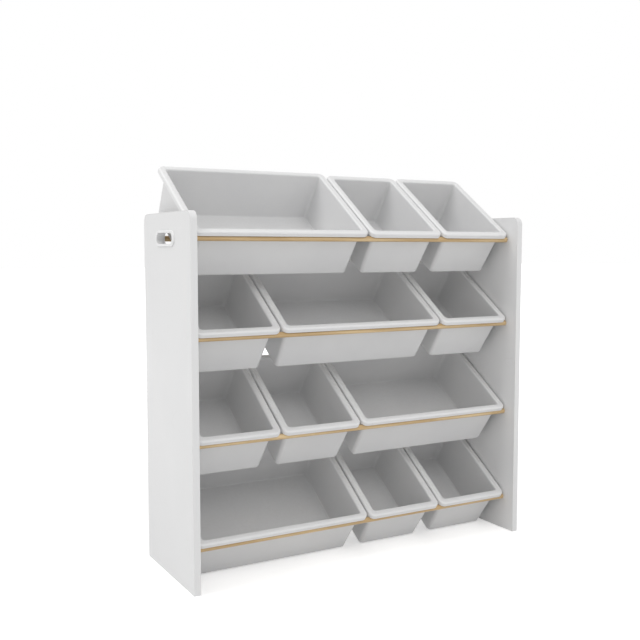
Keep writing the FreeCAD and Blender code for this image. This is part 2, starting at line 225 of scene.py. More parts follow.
@dataclass
class EffectShelf:
    """Builds each shared effect once and places it in materials with their own values."""

    # Cells of the slow swell to one cell of the fine pits.
    SWELL_CELLS = 0.07
    SMUDGE_STRETCH = (1.0, 1.0, 0.45)
    # Noise above this value is a smudge where the cover is 0. More cover lowers it.
    SMUDGE_FLOOR = 0.72
    SMUDGE_COVER_GAIN = 0.4
    SMUDGE_EDGE_GAIN = 4.0
    # One set of scratches for each stretch. A scratch follows the noise's middle value.
    SCUFF_STRETCHES = ((9.0, 1.0, 1.4), (1.2, 8.0, 1.0), (5.0, 5.5, 0.6))
    NOISE_MIDDLE = 0.5
    SCUFF_HALF_WIDTH = 0.006
    SCUFF_PATCH_CELLS = 1.7
    SCUFF_FLOOR = 0.75
    SCUFF_EDGE_GAIN = 5.0
    # From this much to that much facing up, dust comes to lie.
    DUST_FACING = (0.55, 0.95)
    DUST_SPECKS = (0.35, 0.75)

    groups: dict[Effect, bpy.types.NodeTree] = field(default_factory=dict)

    def build(self) -> None:
        """Make every group."""
        self._grain()
        self._drift()
        self._smudges()
        self._scuffs()
        self._dust()

    def place(
        self, bench: NodeBench, effect: Effect, where: Socket, values: dict[str, Any]
    ) -> Socket:
        """Place an effect in a material.

        Args:
            bench: The material's bench.
            effect: Which effect.
            where: The coordinates.
            values: The group's other inputs by name.

        Returns:
            The effect's output.
        """
        sockets = {"Coordinates": where, **values}
        return bench.add("ShaderNodeGroup", sockets, node_tree=self.groups[effect]).outputs[0]

    def _start(
        self, effect: Effect, inputs: dict[str, float], result: str
    ) -> tuple[NodeBench, bpy.types.Node]:
        """Begin a group with a Coordinates input, number inputs and one number output.

        Args:
            effect: Which effect the group is.
            inputs: Names of the number inputs with their usual values.
            result: Name of the output.

        Returns:
            The group's bench and its input node.
        """
        tree = bpy.data.node_groups.new(effect.value, "ShaderNodeTree")
        tree.interface.new_socket("Coordinates", in_out="INPUT", socket_type="NodeSocketVector")
        for name, usual in inputs.items():
            socket = tree.interface.new_socket(name, in_out="INPUT", socket_type="NodeSocketFloat")
            socket.default_value = usual
        tree.interface.new_socket(result, in_out="OUTPUT", socket_type="NodeSocketFloat")
        self.groups[effect] = tree
        bench = NodeBench(tree)
        return bench, bench.add("NodeGroupInput")

    def _finish(self, bench: NodeBench, value: Socket) -> None:
        """Lead the value to the group's output.

        Args:
            bench: The group's bench.
            value: What the group puts out.
        """
        bench.add("NodeGroupOutput", {0: value})

    def _grain(self) -> None:
        """Fine pits and swells of a moulded or pressed skin, as a height."""
        bench, given = self._start(Effect.GRAIN, {"Cells": 900.0, "Coarse": 0.3}, "Height")
        place = given.outputs["Coordinates"]
        fine = bench.noise(place, given.outputs["Cells"], detail=2.0)
        swell_cells = bench.math("MULTIPLY", given.outputs["Cells"], self.SWELL_CELLS)
        swell = bench.noise(place, swell_cells, detail=2.0)
        coarse = bench.math("MULTIPLY", swell, given.outputs["Coarse"])
        self._finish(bench, bench.math("ADD", fine, coarse))

    def _drift(self) -> None:
        """Slow change of tone over a surface, 0 to 1."""
        bench, given = self._start(Effect.DRIFT, {"Cells": 6.0}, "Shade")
        cloud = bench.noise(given.outputs["Coordinates"], given.outputs["Cells"])
        self._finish(bench, bench.ramp(cloud, *NOISE_SPAN))

    def _smudges(self) -> None:
        """Patches that hands have wiped or touched, 0 to 1."""
        bench, given = self._start(Effect.SMUDGES, {"Cells": 30.0, "Cover": 0.4}, "Mask")
        drawn = bench.stretch(given.outputs["Coordinates"], self.SMUDGE_STRETCH)
        wiped = bench.noise(drawn, given.outputs["Cells"], detail=5.0)
        covered = bench.math("MULTIPLY", given.outputs["Cover"], self.SMUDGE_COVER_GAIN)
        floor = bench.math("SUBTRACT", self.SMUDGE_FLOOR, covered)
        above = bench.math("SUBTRACT", wiped, floor)
        self._finish(bench, bench.math("MULTIPLY", above, self.SMUDGE_EDGE_GAIN, clamp=True))

    def _scuffs(self) -> None:
        """Thin crossing scratches in scattered patches, 0 to 1."""
        bench, given = self._start(Effect.SCUFFS, {"Cells": 14.0, "Cover": 0.3}, "Mask")
        place = given.outputs["Coordinates"]
        lines = []
        for factors in self.SCUFF_STRETCHES:
            drawn = bench.noise(bench.stretch(place, factors), given.outputs["Cells"], detail=2.0)
            off_middle = bench.math("SUBTRACT", drawn, self.NOISE_MIDDLE)
            beside = bench.math("ABSOLUTE", off_middle)
            lines.append(bench.ramp(beside, 0.0, self.SCUFF_HALF_WIDTH, 1.0, 0.0))
        crossed = bench.math("MAXIMUM", bench.math("MAXIMUM", lines[0], lines[1]), lines[2])
        patch_cells = bench.math("MULTIPLY", given.outputs["Cells"], self.SCUFF_PATCH_CELLS)
        patches = bench.noise(place, patch_cells, detail=2.0)
        floor = bench.math("SUBTRACT", self.SCUFF_FLOOR, given.outputs["Cover"])
        shown = bench.math("SUBTRACT", patches, floor)
        held = bench.math("MULTIPLY", shown, self.SCUFF_EDGE_GAIN, clamp=True)
        self._finish(bench, bench.math("MULTIPLY", crossed, held))

    def _dust(self) -> None:
        """Dust that lies where a surface faces up, 0 to 1."""
        bench, given = self._start(Effect.DUST, {"Cells": 120.0, "Up": 0.0}, "Mask")
        specks = bench.noise(given.outputs["Coordinates"], given.outputs["Cells"], detail=6.0)
        lying = bench.ramp(given.outputs["Up"], *self.DUST_FACING)
        self._finish(bench, bench.math("MULTIPLY", lying, bench.ramp(specks, *self.DUST_SPECKS)))


# ---------------------------------------------------------------- finishes

# In every finish, cells are a pattern's cells to the metre, shares, covers and polish run from
# 0 to 1, and a relief is in metres.


def empty_material(name: str) -> tuple[bpy.types.Material, NodeBench]:
    """Make a material with an empty node tree.

    Args:
        name: The material's name.

    Returns:
        The material and its bench.
    """
    material = bpy.data.materials.new(name)
    material.use_nodes = True
    material.node_tree.nodes.clear()
    return material, NodeBench(material.node_tree)


def close_material(
    bench: NodeBench, sockets: dict[str, Any], height: Socket, relief: float
) -> None:
    """Add the bump, the Principled shader and the output of a material.

    Args:
        bench: The material's bench.
        sockets: The shader's inputs.
        height: The surface's height pattern.
        relief: How deep the pattern is, in metres.
    """
    bump = bench.add("ShaderNodeBump", {"Height": height, "Distance": relief, "Strength": 1.0})
    shader = bench.add("ShaderNodeBsdfPrincipled", {**sockets, "Normal": bump.outputs[0]})
    bench.add("ShaderNodeOutputMaterial", {"Surface": shader.outputs[0]})


def object_place(bench: NodeBench) -> Socket:
    """Add the piece's own coordinates, in metres.

    Args:
        bench: The material's bench.

    Returns:
        The coordinates.
    """
    return bench.add("ShaderNodeTexCoord").outputs["Object"]


def facing(bench: NodeBench, axis: str) -> Socket:
    """Add how far the surface faces along an axis.

    Args:
        bench: The material's bench.
        axis: The axis's letter, "X", "Y" or "Z".

    Returns:
        The normal's part along the axis, 1 where it faces straight that way.
    """
    normal = bench.add("ShaderNodeNewGeometry").outputs["Normal"]
    return bench.add("ShaderNodeSeparateXYZ", {0: normal}).outputs[axis]


def settled_dust(
    bench: NodeBench, shelf: EffectShelf, place: Socket, cells: float, share: float
) -> Socket:
    """Add how much of the colour the dust takes that has settled on a surface.

    Args:
        bench: The material's bench.
        shelf: The shared effects.
        place: The coordinates.
        cells: The specks' cells to the metre.
        share: The dust's share where it lies thickest.

    Returns:
        The share of dust.
    """
    lying = {"Cells": cells, "Up": facing(bench, "Z")}
    return bench.math("MULTIPLY", shelf.place(bench, Effect.DUST, place, lying), share)


@dataclass(frozen=True)
class MouldedPlastic:
    """White moulded plastic with a fine skin, lighter at its edges: partly wear where hands and
    toys rub, partly a painted highlight.
    """

    name: str
    colour: Colour = (0.75, 0.75, 0.75)
    shade: Colour = (0.72, 0.72, 0.724)
    # The rubbed colour is partly wear and partly a painted highlight that makes the rims and edges
    # lighter as if lit from above.
    rubbed_and_highlit: Colour = (0.87, 0.87, 0.87)
    scuffed: Colour = (0.67, 0.67, 0.67)
    dust: Colour = (0.65, 0.64, 0.62)
    roughness: float = 0.46
    skin_cells: float = 1100.0
    skin_coarse: float = 0.8
    skin_relief: float = 0.00008
    drift_cells: float = 7.0
    touch_cells: float = 26.0
    touch_cover: float = 0.45
    touch_polish: float = 0.09
    rub_and_highlight_share: float = 0.6
    rub_polish: float = 0.08
    scuff_cells: float = 16.0
    scuff_cover: float = 0.3
    scuff_share: float = 0.5
    scuff_depth: float = 0.6
    dust_cells: float = 160.0
    dust_share: float = 0.22
    dust_dulling: float = 0.5

    def build(self, shelf: EffectShelf) -> bpy.types.Material:
        """Make the material.

        Args:
            shelf: The shared effects.

        Returns:
            The material.
        """
        material, bench = empty_material(self.name)
        place = object_place(bench)
        skin = shelf.place(
            bench, Effect.GRAIN, place, {"Cells": self.skin_cells, "Coarse": self.skin_coarse}
        )
        drift = shelf.place(bench, Effect.DRIFT, place, {"Cells": self.drift_cells})
        touched = shelf.place(
            bench, Effect.SMUDGES, place, {"Cells": self.touch_cells, "Cover": self.touch_cover}
        )
        scuffs = shelf.place(
            bench, Effect.SCUFFS, place, {"Cells": self.scuff_cells, "Cover": self.scuff_cover}
        )
        dusty = settled_dust(bench, shelf, place, self.dust_cells, self.dust_share)
        rub_and_highlight_mask = bench.add("ShaderNodeAttribute", attribute_name=RUB_AND_HIGHLIGHT_LAYER).outputs["Fac"]

        body = bench.blend(drift, self.colour, self.shade)
        # Painted highlight with wear: the rubbed colour lightens the rims and edges by the rub
        # layer.
        rubbed_and_highlit = bench.blend(bench.math("MULTIPLY", rub_and_highlight_mask, self.rub_and_highlight_share), body, self.rubbed_and_highlit)
        marks = bench.math("MULTIPLY", scuffs, self.scuff_share)
        marked = bench.blend(marks, rubbed_and_highlit, self.scuffed)
        colour = bench.blend(dusty, marked, self.dust)

        wiped = bench.math("MULTIPLY", touched, -self.touch_polish)
        polished = bench.math("MULTIPLY", rub_and_highlight_mask, -self.rub_polish)
        roughness = bench.math("ADD", bench.math("ADD", wiped, polished), self.roughness)
        dulled = bench.math("MULTIPLY", dusty, self.dust_dulling)
        roughness = bench.math("ADD", roughness, dulled, clamp=True)
        height = bench.math("SUBTRACT", skin, bench.math("MULTIPLY", scuffs, self.scuff_depth))
        sockets = {"Base Color": colour, "Roughness": roughness}
        close_material(bench, sockets, height, self.skin_relief)
        return material


@dataclass(frozen=True)
class LaminatedBoard:
    """White faced board whose front, top and rear edges carry a glued edge band with a seam."""

    name: str
    middle_y: float
    half_depth: float
    top: float
    corner: float = 18 * MM
    colour: Colour = (0.79, 0.79, 0.79)
    shade: Colour = (0.773, 0.773, 0.775)
    seam: Colour = (0.52, 0.50, 0.47)
    bumped: Colour = (0.60, 0.57, 0.53)
    dust: Colour = (0.65, 0.64, 0.62)
    roughness: float = 0.5
    relief: float = 0.00005
    # From this much to that much facing left or right, the surface is the panel's face.
    face_span: Span = (0.9, 0.99)
    seam_inset: float = 1.15 * MM
    seam_width: float = 0.16 * MM
    seam_share: float = 0.45
    seam_depth: float = 2.5
    chip_cells: float = 70.0
    chip_span: Span = (0.66, 0.72)
    chip_reach: Span = (0.4 * MM, 1.1 * MM)
    chip_share: float = 0.5
    skin_cells: float = 700.0
    skin_coarse: float = 1.2
    drift_cells: float = 3.0
    touch_cells: float = 14.0
    touch_cover: float = 0.5
    touch_polish: float = 0.1
    scuff_cells: float = 9.0
    scuff_cover: float = 0.24
    scuff_share: float = 0.12
    dust_cells: float = 140.0
    dust_share: float = 0.3
    dust_dulling: float = 0.4

    def build(self, shelf: EffectShelf) -> bpy.types.Material:
        """Make the material.

        Args:
            shelf: The shared effects.

        Returns:
            The material.
        """
        material, bench = empty_material(self.name)
        place = object_place(bench)
        inside = self._edge_distance(bench, place)
        off_seam = bench.math("ABSOLUTE", bench.math("SUBTRACT", inside, self.seam_inset))
        sideways = bench.math("ABSOLUTE", facing(bench, "X"))
        on_face = bench.ramp(sideways, *self.face_span)
        line = bench.ramp(off_seam, self.seam_width, 2 * self.seam_width, 1.0, 0.0)
        seam = bench.math("MULTIPLY", line, on_face)

        skin = shelf.place(
            bench, Effect.GRAIN, place, {"Cells": self.skin_cells, "Coarse": self.skin_coarse}
        )
        drift = shelf.place(bench, Effect.DRIFT, place, {"Cells": self.drift_cells})
        touched = shelf.place(
            bench, Effect.SMUDGES, place, {"Cells": self.touch_cells, "Cover": self.touch_cover}
        )
        scuffs = shelf.place(
            bench, Effect.SCUFFS, place, {"Cells": self.scuff_cells, "Cover": self.scuff_cover}
        )
        dusty = settled_dust(bench, shelf, place, self.dust_cells, self.dust_share)
        chips = bench.ramp(bench.noise(place, self.chip_cells, detail=4.0), *self.chip_span)
        near_edge = bench.ramp(inside, *self.chip_reach, 1.0, 0.0)
        at_edge = bench.math("MULTIPLY", near_edge, on_face)
        chipped = bench.math("MULTIPLY", chips, at_edge)

        face = bench.blend(drift, self.colour, self.shade)
        marked = bench.blend(bench.math("MULTIPLY", scuffs, self.scuff_share), face, self.bumped)
        worn = bench.blend(bench.math("MULTIPLY", chipped, self.chip_share), marked, self.bumped)
        seamed = bench.blend(bench.math("MULTIPLY", seam, self.seam_share), worn, self.seam)
        colour = bench.blend(dusty, seamed, self.dust)

        wiped = bench.math("MULTIPLY", touched, -self.touch_polish)
        roughness = bench.math("ADD", wiped, bench.math("MULTIPLY", dusty, self.dust_dulling))
        roughness = bench.math("ADD", roughness, self.roughness, clamp=True)
        height = bench.math("SUBTRACT", skin, bench.math("MULTIPLY", seam, self.seam_depth))
        sockets = {"Base Color": colour, "Roughness": roughness}
        close_material(bench, sockets, height, self.relief)
        return material

    def _edge_distance(self, bench: NodeBench, place: Socket) -> Socket:
        """Add the distance inward from the panel's outline, its round top corners included.

        Args:
            bench: The material's bench.
            place: The coordinates.

        Returns:
            The distance in metres from the front, top or rear edge, below 0 outside.
        """
        across = bench.add("ShaderNodeSeparateXYZ", {0: place})
        off_middle = bench.math("SUBTRACT", across.outputs["Y"], self.middle_y)
        from_middle = bench.math("ABSOLUTE", off_middle)
        over_y = bench.math("SUBTRACT", from_middle, self.half_depth - self.corner)
        over_z = bench.math("SUBTRACT", across.outputs["Z"], self.top - self.corner)
        out_y = bench.math("MAXIMUM", over_y, 0.0)
        out_z = bench.math("MAXIMUM", over_z, 0.0)
        squares = [bench.math("MULTIPLY", out, out) for out in (out_y, out_z)]
        round_part = bench.math("SQRT", bench.math("ADD", *squares))
        flat_part = bench.math("MINIMUM", bench.math("MAXIMUM", over_y, over_z), 0.0)
        return bench.math("SUBTRACT", self.corner, bench.math("ADD", round_part, flat_part))


@dataclass(frozen=True)
class LacqueredWood:
    """Clear-coated light hardwood, its grain along X."""

    name: str
    light: Colour = (0.75, 0.56, 0.31)
    dark: Colour = (0.54, 0.36, 0.165)
    pore: Colour = (0.32, 0.19, 0.09)
    dust: Colour = (0.62, 0.56, 0.48)
    roughness: float = 0.42
    coat: float = 0.25
    coat_roughness: float = 0.3
    relief: float = 0.00009
    wander_cells: float = 14.0
    wander_drawn: float = 0.25
    wander_share: float = 0.35
    band_cells: float = 210.0
    band_drawn: float = 0.035
    band_share: float = 0.75
    grain_span: Span = (0.38, 0.68)
    pore_cells: float = 1500.0
    pore_drawn: float = 0.045
    pore_span: Span = (0.62, 0.72)
    pore_share: float = 0.5
    pore_depth: float = 0.8
    touch_cells: float = 18.0
    touch_cover: float = 0.4
    touch_polish: float = 0.1
    dust_cells: float = 220.0
    dust_share: float = 0.2

    def build(self, shelf: EffectShelf) -> bpy.types.Material:
        """Make the material.

        Args:
            shelf: The shared effects.

        Returns:
            The material.
        """
        material, bench = empty_material(self.name)
        place = object_place(bench)
        wander = self._along_grain(bench, place, self.wander_drawn, self.wander_cells, 2.0)
        bands = self._along_grain(bench, place, self.band_drawn, self.band_cells, 4.0)
        wandering = bench.math("MULTIPLY", wander, self.wander_share)
        mixed = bench.math("ADD", wandering, bench.math("MULTIPLY", bands, self.band_share))
        pores = self._along_grain(bench, place, self.pore_drawn, self.pore_cells, 2.0)
        pore = bench.ramp(pores, *self.pore_span)
        touched = shelf.place(
            bench, Effect.SMUDGES, place, {"Cells": self.touch_cells, "Cover": self.touch_cover}
        )
        dusty = settled_dust(bench, shelf, place, self.dust_cells, self.dust_share)

        grain = bench.blend(bench.ramp(mixed, *self.grain_span), self.light, self.dark)
        pored = bench.blend(bench.math("MULTIPLY", pore, self.pore_share), grain, self.pore)
        colour = bench.blend(dusty, pored, self.dust)
        wiped = bench.math("MULTIPLY", touched, self.touch_polish)
        sockets = {
            "Base Color": colour,
            "Roughness": bench.math("SUBTRACT", self.roughness, wiped),
            "Coat Weight": self.coat,
            "Coat Roughness": self.coat_roughness,
        }
        height = bench.math("SUBTRACT", bands, bench.math("MULTIPLY", pore, self.pore_depth))
        close_material(bench, sockets, height, self.relief)
        return material

    def _along_grain(
        self, bench: NodeBench, place: Socket, drawn: float, cells: float, detail: float
    ) -> Socket:
        """Add noise that is drawn out along the grain.

        Args:
            bench: The material's bench.
            place: The coordinates.
            drawn: The factor on the coordinate along the grain, small for long streaks.
            cells: Noise cells to the metre across the grain.
            detail: Octaves.

        Returns:
            The noise value.
        """
        return bench.noise(bench.stretch(place, (drawn, 1.0, 1.0)), cells, detail)


@dataclass(frozen=True)
class ZincSteel:
    """Zinc-plated screw steel with turning marks."""

    name: str
    colour: Colour = (0.62, 0.62, 0.60)
    dull: Colour = (0.48, 0.48, 0.47)
    roughness: float = 0.34
    relief: float = 0.00003
    skin_cells: float = 2600.0
    skin_coarse: float = 0.5
    drift_cells: float = 160.0
    drift_dulling: float = 0.15

    def build(self, shelf: EffectShelf) -> bpy.types.Material:
        """Make the material.

        Args:
            shelf: The shared effects.

        Returns:
            The material.
        """
        material, bench = empty_material(self.name)
        place = object_place(bench)
        turned = shelf.place(
            bench, Effect.GRAIN, place, {"Cells": self.skin_cells, "Coarse": self.skin_coarse}
        )
        drift = shelf.place(bench, Effect.DRIFT, place, {"Cells": self.drift_cells})
        colour = bench.blend(drift, self.colour, self.dull)
        dulled = bench.math("MULTIPLY", drift, self.drift_dulling)
        roughness = bench.math("ADD", self.roughness, dulled)
        sockets = {"Base Color": colour, "Roughness": roughness, "Metallic": 1.0}
        close_material(bench, sockets, turned, self.relief)
        return material


# ---------------------------------------------------------------- bins


class BinKind(Enum):
    """The two kinds of bin, each with the start of its nodes' names."""

    LARGE = "large_bin"
    SMALL = "small_bin"


@dataclass(frozen=True)
class BinSize:
    """What one kind of bin has for itself, besides the width that its solid gives."""

    length: float
    end_rim: float
    rim_height: float


BIN_SIZES = {
    BinKind.LARGE: BinSize(length=262 * MM, end_rim=14.5 * MM, rim_height=11 * MM),
    BinKind.SMALL: BinSize(length=256 * MM, end_rim=16 * MM, rim_height=11.5 * MM),
}


@dataclass(frozen=True)
class Loop:
    """One level loop of a bin's skin: a rounded rectangle inset from the rim's outer edge."""

    side: float
    end: float
    corner: float
    height: float
    # How much the loop is lightened: partly handling wear, partly a painted highlight.
    rub_and_highlight: float = 0.0


@dataclass(frozen=True)
class Cradle:
    """The front rod and the rear rod that carry one row of bins."""

    row: int
    play: float = 0.25 * MM

    def rod_middle(self, which: str) -> Vector:
        """Return the middle of one rod.

        Args:
            which: "front" or "rear".

        Returns:
            Its middle point.
        """
        low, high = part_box(f"{which}_rod_row_{self.row}")
        return (low + high) / 2

    @property
    def spacing(self) -> float:
        """The distance from the front rod's middle to the rear rod's."""
        return self.rod_middle("rear").y - self.rod_middle("front").y

    @property
    def reach(self) -> float:
        """The distance from a rod's middle to the skin of the bin that leans on it."""
        low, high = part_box(f"front_rod_row_{self.row}")
        return (high.z - low.z) / 2 + self.play


@dataclass
class MouldedBin:
    """One loose bin, built upright in its own frame and laid in its cradle.

    In that frame the rim's top is z = 0, the rim's front edge is y = 0 and x = 0 is the middle.
    """

    # The gate mark from its middle out: radius to the gate's radius, depth to the gate's height.
    GATE_PROFILE = ((0.35, 1.0), (0.8, 0.8), (1.0, 0.0), (2.4, 0.0))
    # Where plain loops cross the outer and the inner wall, as shares of their depth.
    OUTER_WALL_SHARES = (0.7, 0.4)
    INNER_WALL_SHARES = (0.3, 0.65)
    # How much the edges are lightened, 0 to 1: partly handling wear, partly a painted highlight.
    FOOT_RUB_AND_HIGHLIGHT = 0.7
    SKIRT_RUBS_AND_HIGHLIGHTS = (0.2, 0.6, 0.8, 0.8)
    RIM_SIDE_RUB_AND_HIGHLIGHT = 0.3
    SHOULDER_RUB_AND_HIGHLIGHT = (0.4, 0.6)
    MOUTH_RUB_AND_HIGHLIGHT = 0.6

    node: str
    cradle: Cradle
    width: float
    size: BinSize
    tilt: float = math.radians(34.5)
    depth: float = 121 * MM
    wall: float = 2.2 * MM
    side_rim: float = 16 * MM
    side_draft: float = 4 * MM
    end_draft: float = 1 * MM
    rim_corner: float = 15 * MM
    rim_round: float = 4.5 * MM
    rim_plate: float = 2.4 * MM
    skirt: float = 2.2 * MM
    skirt_round: float = 0.5 * MM
    mouth_corner: float = 6 * MM
    mouth_round: float = 4.5 * MM
    channel_round: float = 2.2 * MM
    foot_corner: float = 10 * MM
    foot_round: float = 5.5 * MM
    floor_round: float = 3.5 * MM
    foot_band: float = 7 * MM
    foot_step: float = 0.6 * MM
    step_run: float = 3.0
    gate_radius: float = 3.2 * MM
    gate_height: float = 0.45 * MM
    least_corner: float = 0.4 * MM
    sharp_angle: float = math.radians(42)
    corner_parts: int = 8
    side_parts: int = 6
    round_parts: int = 6

    @classmethod
    def from_node(cls, node: str) -> "MouldedBin":
        """Make the bin of one node, by its name and its solid's width.

        Args:
            node: The node's name, such as large_bin_row_1.

        Returns:
            The bin, not yet built.
        """
        low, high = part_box(node)
        kind = next(kind for kind in BinKind if node.startswith(kind.value))
        row = int(node.split("_row_")[1].split("_")[0])
        return cls(node, Cradle(row), high.x - low.x, BIN_SIZES[kind])

    def build(self) -> bpy.types.Object:
        """Build the bin, lay it in its cradle and let it ride on its own body.

        Returns:
            The bin.
        """
        mesh = bpy.data.meshes.new(f"{self.node}_skin")
        shape = bmesh.new()
        layer = shape.verts.layers.float.new(RUB_AND_HIGHLIGHT_LAYER)
        rows = [self._loop_vertices(shape, layer, loop) for loop in self._section()]
        for lower, upper in zip(rows, rows[1:]):
            for index in range(len(lower)):
                after = (index + 1) % len(lower)
                shape.faces.new((lower[index], lower[after], upper[after], upper[index]))
        shape.faces.new(rows[0])
        shape.faces.new(rows[-1])
        bmesh.ops.recalc_face_normals(shape, faces=shape.faces)
        shape.to_mesh(mesh)
        shape.free()
        mesh.transform(self._placement())
        mesh.shade_smooth()
        mesh.set_sharp_from_angle(angle=self.sharp_angle)
        moulded = bpy.data.objects.new(f"{self.node}_moulding", mesh)
        bpy.context.scene.collection.objects.link(moulded)
        weighted = moulded.modifiers.new("even_flats", "WEIGHTED_NORMAL")
        weighted.keep_sharp = True
        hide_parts(self.node)
        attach(moulded, self.node)
        return moulded

    def dress(self, moulded: bpy.types.Object, material: bpy.types.Material) -> None:
        """Give the bin its plastic.

        Args:
            moulded: The built bin.
            material: The plastic.
        """
        moulded.data.materials.append(material)

    def _placement(self) -> Matrix:
        """Return where the bin lies.

        The underside rests on the rear rod and the front wall leans on the front rod, so both
        rods' middles have fixed places in the bin's own frame: so far below the rim and so far
        behind its front edge.

        Returns:
            The matrix from the bin's own frame to the solids' frame.
        """
        sine, cosine = math.sin(self.tilt), math.cos(self.tilt)
        reach = self.cradle.reach
        below = self.depth + reach - self.cradle.spacing * sine
        behind = self.size.end_rim - self.wall + self.end_draft * below / self.depth - reach
        front = self.cradle.rod_middle("front")
        low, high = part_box(self.node)
        middle_x = (low.x + high.x) / 2
        rim_y = front.y - behind * cosine - below * sine
        rim_z = front.z - behind * sine + below * cosine
        return Matrix.Translation((middle_x, rim_y, rim_z)) @ Matrix.Rotation(self.tilt, 4, "X")

    def _section(self) -> list[Loop]:
        """Return all loops, from the underside's middle over the rim to the floor's edge."""
        return [*self._underside(), *self._outside(), *self._rim(), *self._inside()]

    def _outer_wall(self, height: float) -> Loop:
        """Return the outer wall's loop at a height.

        Args:
            height: Height in the bin's frame, below 0.

        Returns:
            The loop.
        """
        share = -height / self.depth
        start = self.mouth_corner + self.wall
        corner = start + (self.foot_corner - start) * share
        side = self.side_rim - self.wall + self.side_draft * share
        end = self.size.end_rim - self.wall + self.end_draft * share
        return Loop(side, end, corner, height)

    def _inner_wall(self, height: float) -> Loop:
        """Return the inner wall's loop at a height.

        Args:
            height: Height in the bin's frame, below 0.

        Returns:
            The loop.
        """
        share = -height / self.depth
        corner = self.mouth_corner + (self.foot_corner - self.wall - self.mouth_corner) * share
        side = self.side_rim + self.side_draft * share
        end = self.size.end_rim + self.end_draft * share
        return Loop(side, end, corner, height)

    def _inset(self, loop: Loop, by: float, height: float, rub_and_highlight: float = 0.0) -> Loop:
        """Return a loop drawn inward, its corners concentric.

        Args:
            loop: The loop to start from.
            by: How far inward.
            height: The new loop's height.
            rub_and_highlight: How much it is lightened: partly handling wear, partly a painted
                highlight.

        Returns:
            The new loop.
        """
        corner = max(loop.corner - by, self.least_corner)
        return Loop(loop.side + by, loop.end + by, corner, height, rub_and_highlight)

    def _spot(self, radius: float, height: float) -> Loop:
        """Return a small round loop in the middle of the bin.

        Args:
            radius: The loop's radius.
            height: The loop's height.

        Returns:
            The loop.
        """
        return Loop(self.width / 2 - radius, self.size.length / 2 - radius, radius, height)

    def _turns(self, first: int = 0) -> list[float]:
        """Return the angles that step through the quarter turn of a rounding.

        Args:
            first: The first step, 0 for the very start or 1 to leave it out.

        Returns:
            The angles, the last one a quarter turn.
        """
        parts = self.round_parts
        return [QUARTER_TURN * part / parts for part in range(first, parts + 1)]

    def _underside(self) -> list[Loop]:
        """Return the underside: the gate mark, the raised middle and the band it stands on."""
        foot = -self.depth
        raised = foot + self.foot_step
        flat = self._inset(self._outer_wall(foot), self.foot_round, foot)
        step = self._inset(flat, self.foot_band, foot)
        gate = [
            self._spot(self.gate_radius * radius, raised - self.gate_height * depth)
            for radius, depth in self.GATE_PROFILE
        ]
        return [
            *gate,
            self._inset(step, self.foot_step * self.step_run, raised),
            self._inset(step, self.foot_step, raised),
            step,
            flat,
        ]

    def _outside(self) -> list[Loop]:
        """Return the rounding at the foot and the outer wall, up into the rim's channel."""
        loops = []
        foot = self._outer_wall(-self.depth)
        for turn in self._turns(1):
            by = self.foot_round * (1 - math.sin(turn))
            height = -self.depth + self.foot_round * (1 - math.cos(turn))
            loops.append(self._inset(foot, by, height, self.FOOT_RUB_AND_HIGHLIGHT * math.sin(2 * turn)))
        loops += [self._outer_wall(-share * self.depth) for share in self.OUTER_WALL_SHARES]
        loops.append(self._outer_wall(-self.size.rim_height))
        under_plate = -self.rim_plate - self.channel_round
        neck = self._outer_wall(under_plate)
        for turn in self._turns():
            by = -self.channel_round * (1 - math.cos(turn))
            loops.append(self._inset(neck, by, under_plate + self.channel_round * math.sin(turn)))
        return loops

    def _rim(self) -> list[Loop]:
        """Return the rim: the channel under it, the skirt, the rounded shoulder and the top."""
        edge = Loop(0.0, 0.0, self.rim_corner, 0.0)
        small = self.skirt_round
        foot = -self.size.rim_height
        inner, inner_edge, outer_edge, outer = self.SKIRT_RUBS_AND_HIGHLIGHTS
        loops = [
            self._inset(edge, self.skirt, -self.rim_plate),
            self._inset(edge, self.skirt, foot + small, inner),
            self._inset(edge, self.skirt - small, foot, inner_edge),
            self._inset(edge, small, foot, outer_edge),
            self._inset(edge, 0.0, foot + small, outer),
            self._inset(edge, 0.0, -self.rim_round, self.RIM_SIDE_RUB_AND_HIGHLIGHT),
        ]
        least, more = self.SHOULDER_RUB_AND_HIGHLIGHT
        for turn in self._turns(1):
            by = self.rim_round * (1 - math.cos(turn))
            height = self.rim_round * (math.sin(turn) - 1)
            loops.append(self._inset(edge, by, height, least + more * math.sin(2 * turn)))
        return loops

    def _inside(self) -> list[Loop]:
        """Return the rounded mouth, the inner wall and the rounding at the floor."""
        loops = []
        mouth = self._inner_wall(0.0)
        for turn in self._turns():
            by = -self.mouth_round * (1 - math.sin(turn))
            height = self.mouth_round * (math.cos(turn) - 1)
            loops.append(self._inset(mouth, by, height, self.MOUTH_RUB_AND_HIGHLIGHT * math.sin(2 * turn)))
        floor = -(self.depth - self.wall)
        loops += [self._inner_wall(floor * share) for share in self.INNER_WALL_SHARES]
        foot = self._inner_wall(floor)
        for turn in self._turns():
            by = self.floor_round * (1 - math.cos(turn))
            loops.append(self._inset(foot, by, floor + self.floor_round * (1 - math.sin(turn))))
        return loops

